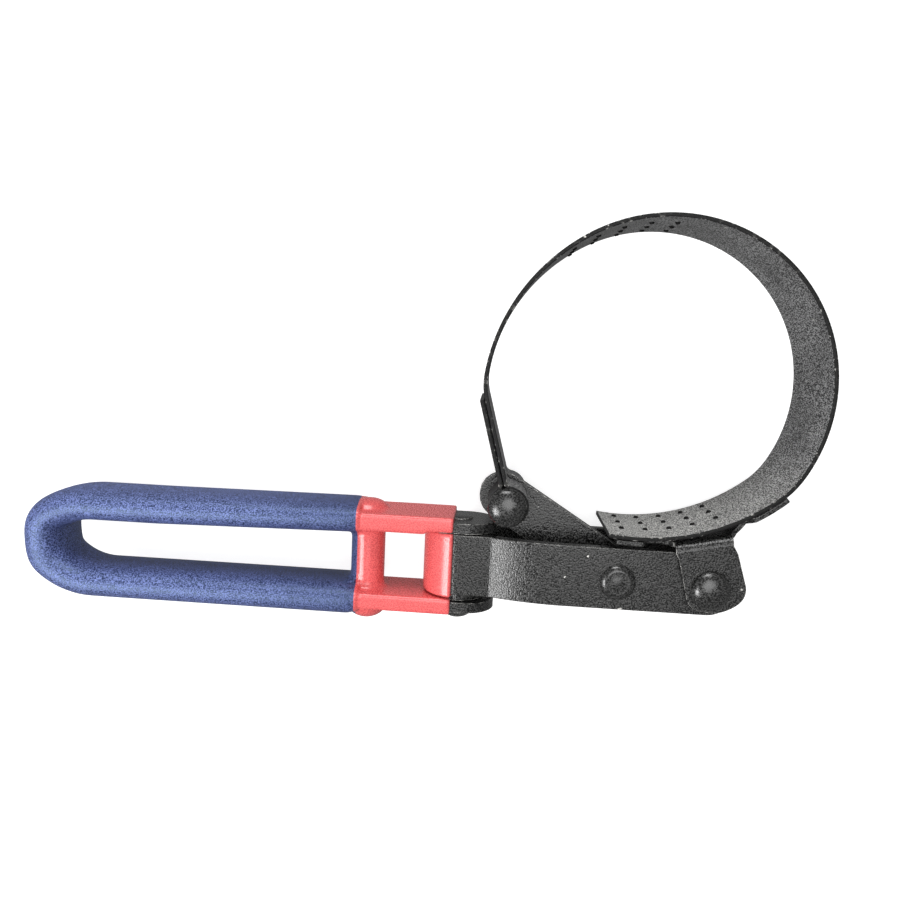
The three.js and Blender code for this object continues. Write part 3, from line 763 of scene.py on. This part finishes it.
# ---------------------------------------------------------------- bracket
SHEET = 1.6
SHEET_FOLD = 2.1
EAR_MIDDLE = 14.3 + SHEET / 2         # z of the middle of an ear's thickness
EAR_LEFT = [s[:2] for s in walk((54.7, -57.3, -74.9), [(16.2, 0), (4.4, 66), (2.4, 0)], 1)]
EAR_RIGHT = [s[:2] for s in walk((71.0, -53.9, -71.8), [(14.4, 0), (5.5, -65), (13, -35)], 1)]
EAR_START = 0.13                      # share of an ear's sides that its fold takes up
UNDER_BAND = BAND_THICK / 2 + BAND_GAP + SHEET / 2
FLAT_ARC = (43.63, 6.3, BASE_RADIUS + UNDER_BAND)     # x, y and radius below the band's base
CORNER_ARC = (66.0, -21.85, 26 + UNDER_BAND)          # and below the sharp bend beyond it
CORNER_X = 82.2
NOTCHES = ((45.6, EAR_LEFT[0][0]), (EAR_RIGHT[0][0], 76.2))
BASE_HALF = 15.1
NOTCH_DEPTH = 4.5


def base_level(x):
    """Y of the middle of the bracket's base: it follows the band, but is flat between its ears."""
    centre_x, centre_y, radius = FLAT_ARC if x < CORNER_X else CORNER_ARC
    follow = centre_y - math.sqrt(radius ** 2 - (x - centre_x) ** 2)
    (x0, y0), (x1, y1) = EAR_LEFT[0], EAR_RIGHT[0]
    flat = y0 + (y1 - y0) * (x - x0) / (x1 - x0)
    return flat + (follow - flat) * smoothstep(max(x0 - x, x - x1, 0) / 5.5)


def base_half(x):
    """Half width of the base: full at its two end tabs, less in the notches beside the ears."""
    for low, high in NOTCHES:
        if low < x < high:
            return BASE_HALF - NOTCH_DEPTH * min(1.0, min(x - low, high - x) / 1.2)
    return BASE_HALF


def along(points, t):
    """The point a share t of the way down a polyline."""
    lengths = [math.dist(a, b) for a, b in zip(points, points[1:])]
    d = t * sum(lengths)
    for a, b, length in zip(points, points[1:], lengths):
        if d <= length + 1e-9:
            f = d / length
            return a[0] + (b[0] - a[0]) * f, a[1] + (b[1] - a[1]) * f
        d -= length
    return points[-1]


def ear_grid(side):
    """One ear: a quarter turn down from the base, then a flat plate between its two outlines."""
    left, right = EAR_LEFT[0][0], EAR_RIGHT[0][0]
    across = np.linspace(0, 1, 14)
    grid = []
    for i in range(8):
        a = i / 7 * math.pi / 2
        fall = SHEET_FOLD * (1 - math.cos(a))
        z = EAR_MIDDLE - SHEET_FOLD * (1 - math.sin(a))
        spots = [left + (right - left) * c for c in across]
        grid.append([Vector((x, base_level(x) - fall, side * z)) for x in spots])
    for t in np.linspace(EAR_START, 1, 26)[1:]:
        lx, ly = along(EAR_LEFT, t)
        rx, ry = along(EAR_RIGHT, t)
        grid.append([Vector((lx + (rx - lx) * c, ly + (ry - ly) * c, side * EAR_MIDDLE))
                     for c in across])
    return grid


def build_bracket():
    rows = []
    for x in (tenths / 10 for tenths in range(374, 862, 8)):
        between_ears = EAR_LEFT[0][0] <= x <= EAR_RIGHT[0][0]
        wide = EAR_MIDDLE - SHEET_FOLD if between_ears else base_half(x)
        rows.append([Vector((x, base_level(x), z)) for z in np.linspace(-wide, wide, 9)])
    parts = [sheet("bracket_base", rows, SHEET, 0.4)]
    parts += [sheet("bracket_ear", ear_grid(side), SHEET, 0.45) for side in (1, -1)]
    finish_piece(joined("bracket_sheet", parts), BLACK_PAINT, "root", "bracket")


# ---------------------------------------------------------------- handle
GRIP_THICK, NECK_THICK = 5.45, 4.5    # half sizes of the grip's section, and where it meets the red
GRIP_WIDE, NECK_WIDE = 11.7, 11.1
GRIP_THINNING = 0.45                  # the upper leg thins as it rises
BRACE_HEADS = [        # base, side, radius and height of the dip over the brace rivet's heads
    (STRAP_TOP + STRAP_THICK / 2 + COLLAR_COAT + 0.6, 1, 5.8, 3.2),
    (STRAP_BOTTOM - STRAP_THICK / 2 - COLLAR_COAT, -1, 6.6, 5.4),
]


def strap_run():
    """The bend: a straight length where it stands upright makes up the height between the legs."""
    end = walk((BEND_X, STRAP_TOP, 180), BEND_UPPER + BEND_LOWER)[-1]
    return BEND_UPPER + [(end[1] - STRAP_BOTTOM, 0)] + BEND_LOWER


def risen(x, heading):
    """The share of its rise that the upper leg has made; the bend and the lower leg have none."""
    if heading != 180:
        return 0
    return min(1.0, max(0.0, (x - RISE_START) / (RISE_END - RISE_START)))


def strap_stations(start, step=1.5):
    """The upper leg, the bend and the lower leg; the upper leg rises a little towards the lever."""
    upper = walk((start, STRAP_TOP, 180), [(start - BEND_X, 0), *strap_run()], step)
    lower = walk(upper[-1], [(start - upper[-1][0], 0)], step)[1:]
    return [(x, y + RISE * risen(x, heading), heading) for x, y, heading in upper] + lower


def build_strap():
    """The strap's two bare ends: the ears that hold the swivel's pin."""
    steps, tip, straight = 30, 0.6, 8
    parts = []
    for y in (STRAP_TOP, STRAP_BOTTOM):
        grid = []
        for i in range(steps + 1):
            a = i / steps
            d = ((1 - math.cos(min(a / tip, 1) * math.pi / 2)) * STRAP_HALF
                 + max(0, a - tip) / (1 - tip) * straight)
            half = end_width(max(d, 0.1), STRAP_HALF, STRAP_HALF)
            grid.append([Vector((EAR_END - d, y, half * c)) for c in NARROW_COLUMNS])
        parts.append(sheet("ear", grid, STRAP_THICK, 0.5))
    finish_piece(joined("handle_ears", parts), BLACK_PAINT, "handle", "handle_strap")


def grip_solid():
    """The thick dip along the strap, swollen a little round the bend."""
    stations = strap_stations(GRIP_START)
    sections = []
    for x, _, heading in stations:
        swell = max(0.0, math.sin(math.radians(heading - 180)))
        ease = smoothstep((DIP_LINE - x + 0.5) / DIP_EASE)
        full = GRIP_THICK - GRIP_THINNING * risen(x, heading)
        thick = NECK_THICK + (full - NECK_THICK) * ease
        wide = NECK_WIDE + (GRIP_WIDE - NECK_WIDE) * ease
        sections.append([(left * (1 + swell * (0.04 if left > 0 else 0.16)), z)
                         for left, z in superellipse(thick, wide, 3.1 - 0.6 * ease)])
    return swept("dip", stations, sections)


def spool(name, low, high, fillet):
    """The dipped brace between two level faces, with a fillet into each."""
    profile = [(0, low - 1)]
    for i in range(9):
        a = i / 8 * math.pi / 2
        profile.append((BRACE_RADIUS + fillet * (1 - math.sin(a)), low + fillet * (1 - math.cos(a))))
    profile += [(r, low + high - h) for r, h in reversed(profile)]
    return lathe(name, profile, (BRACE_X, 0, 0), "Y", 40)


def collar_solids():
    """The thin dip: both legs, the brace, its web into the grip, and the rivet's two heads."""
    half = STRAP_THICK / 2 + COLLAR_COAT
    low, high = STRAP_BOTTOM + half, STRAP_TOP - half
    solids = []
    for first, last, under, over in (
            (COLLAR_START, COLLAR_END, STRAP_BOTTOM - half, low + 0.4),
            (COLLAR_START, COLLAR_BARE, high, STRAP_TOP + half + RISE),
            (COLLAR_BARE, COLLAR_END, high + COLLAR_COAT + 0.1, STRAP_TOP + half + RISE)):
        centre = ((first + last) / 2, (under + over) / 2, 0)
        size = (last - first, over - under, 2 * (STRAP_HALF + COLLAR_COAT))
        solids.append(box_object("leg", centre, size))
    solids.append(spool("tube", low, high, 2.6))
    web = spool("web", STRAP_BOTTOM + GRIP_THICK, STRAP_TOP - 4.1, 2.2)
    bisect(web, keep=-1)
    solids.append(web)
    for base, side, radius, height in BRACE_HEADS:
        profile = [(0, -1.5), (radius, -1.5)] + dome_profile(radius, 0, height)[1:]
        head = lathe("head", profile, (0, 0, 0), "Y", 40)
        flip = Matrix.Scale(side, 4, (0, 1, 0))
        head.data.transform(Matrix.Translation((BRACE_X, base, 0)) @ flip)
        outward(head)
        solids.append(head)
    return solids


def build_vinyl():
    """The whole dip is drawn as one solid, remeshed, softened, and parted where blue meets red."""
    collar = joined("collar_dip", [grip_solid(), *collar_solids()])
    remesh = collar.modifiers.new("remesh", "REMESH")
    remesh.mode = "VOXEL"
    remesh.voxel_size = DIP_VOXEL
    soften = collar.modifiers.new("soften", "SMOOTH")
    soften.factor = 0.5
    soften.iterations = 8
    baked(collar)
    grip = collar.copy()
    grip.data = collar.data.copy()
    grip.name = "grip_dip"
    bpy.context.scene.collection.objects.link(grip)
    bisect(collar, keep=1)
    bisect(grip, keep=-1)
    finish_piece(smooth(collar, 70), RED_VINYL, "handle", "red_collar", "brace_rivet")
    finish_piece(smooth(grip, 70), BLUE_VINYL, "handle", "blue_grip")


def bisect(obj, keep):
    """Keeps one side of the slanting line where the two dips meet."""
    bm = bmesh.new()
    bm.from_mesh(obj.data)
    result = bmesh.ops.bisect_plane(
        bm, geom=bm.verts[:] + bm.edges[:] + bm.faces[:], plane_co=Vector((DIP_LINE, -69.9, 0)),
        plane_no=Vector((1, 0, -0.06)).normalized(), clear_outer=keep < 0, clear_inner=keep > 0)
    edges = [e for e in result["geom_cut"] if isinstance(e, bmesh.types.BMEdge)]
    bmesh.ops.holes_fill(bm, edges=edges)
    bm.to_mesh(obj.data)
    bm.free()


def build_swivel():
    """The pin that the handle swivels on: a flush head above and a round one below."""
    top = STRAP_TOP + STRAP_THICK / 2
    bottom = STRAP_THICK / 2 - STRAP_BOTTOM
    upper = [(SHANK_RADIUS, top), (3.9, top + 0.02), (3.85, top + 0.4), (3.4, top + 0.62),
             (0, top + 0.66)]
    lower = [(SHANK_RADIUS, bottom)] + dome_profile(5.5, bottom, 4.2)
    profile = [(r, -h) for r, h in reversed(lower)] + upper
    pin = lathe("swivel_pin_heads", profile, (SWIVEL_X, 0, 0), "Y")
    finish_piece(smooth(pin, 45), BLACK_PAINT, "handle", "swivel_pin")


def paint_plain_nodes():
    """The frame's own pieces that show only a little keep their shape and get a finish."""
    paints = {"bracket_spacer": STEEL, "lever_spacer_front": STEEL, "lever_spacer_back": STEEL,
              "brace_tube": STEEL, "swivel_sleeve": STEEL, "swivel_washer": BLACK_PAINT}
    for name, paint in paints.items():
        NODES[name].data.materials.clear()
        NODES[name].data.materials.append(paint)


# ---------------------------------------------------------------- studio
LAMPS = [              # name, place and size in metres, and power in watts
    ("overhead", (0.1, 0.1, 1.0), 0.6, 5.0),
    ("window", (-0.05, 1.0, 0.4), 0.5, 7.5),
    ("side", (-0.55, -0.35, 0.75), 0.35, 6.5),
]


def build_studio():
    """A plain pale floor that glows a little, a soft white room and three soft lamps."""
    floor = new_object("floor", [(-3, -3, 0), (3, -3, 0), (3, 3, 0), (-3, 3, 0)], [(0, 1, 2, 3)])
    floor.location.z = -0.0004
    paper = Paint("paper")
    paper.set(color=level(0.5), rough=0.9)
    paper.shader.inputs["Emission Color"].default_value = (1, 1, 1, 1)
    paper.shader.inputs["Emission Strength"].default_value = 0.75
    floor.data.materials.append(paper.material)
    floor.visible_diffuse = False
    floor.visible_glossy = False
    world = bpy.data.worlds.new("studio")
    world.use_nodes = True
    background = world.node_tree.nodes["Background"]
    background.inputs["Color"].default_value = (1, 1, 1, 1)
    background.inputs["Strength"].default_value = 0.3
    bpy.context.scene.world = world
    for name, place, size, power in LAMPS:
        light = bpy.data.lights.new(name, "AREA")
        light.size = size
        light.energy = power
        lamp = bpy.data.objects.new(name, light)
        lamp.location = place
        lamp.rotation_euler = (-Vector(place)).to_track_quat("-Z", "Y").to_euler()
        bpy.context.scene.collection.objects.link(lamp)


def build_camera():
    data = bpy.data.cameras.new("camera")
    data.lens = CAMERA_LENS
    data.clip_start = 0.01
    camera = bpy.data.objects.new("camera", data)
    camera.location = (ORIGIN + Vector((0, 0, CAMERA_HEIGHT))) * MM
    camera.rotation_euler = Euler([math.radians(a) for a in CAMERA_TILT], "XYZ")
    bpy.context.scene.collection.objects.link(camera)
    bpy.context.scene.camera = camera


build_camera()
build_studio()
build_band()
build_teeth()
build_lever()
build_knuckle_coat()
build_link()
build_rivets()
build_bracket()
build_strap()
build_vinyl()
build_swivel()
paint_plain_nodes()
bpy.context.scene.view_settings.view_transform = "Standard"
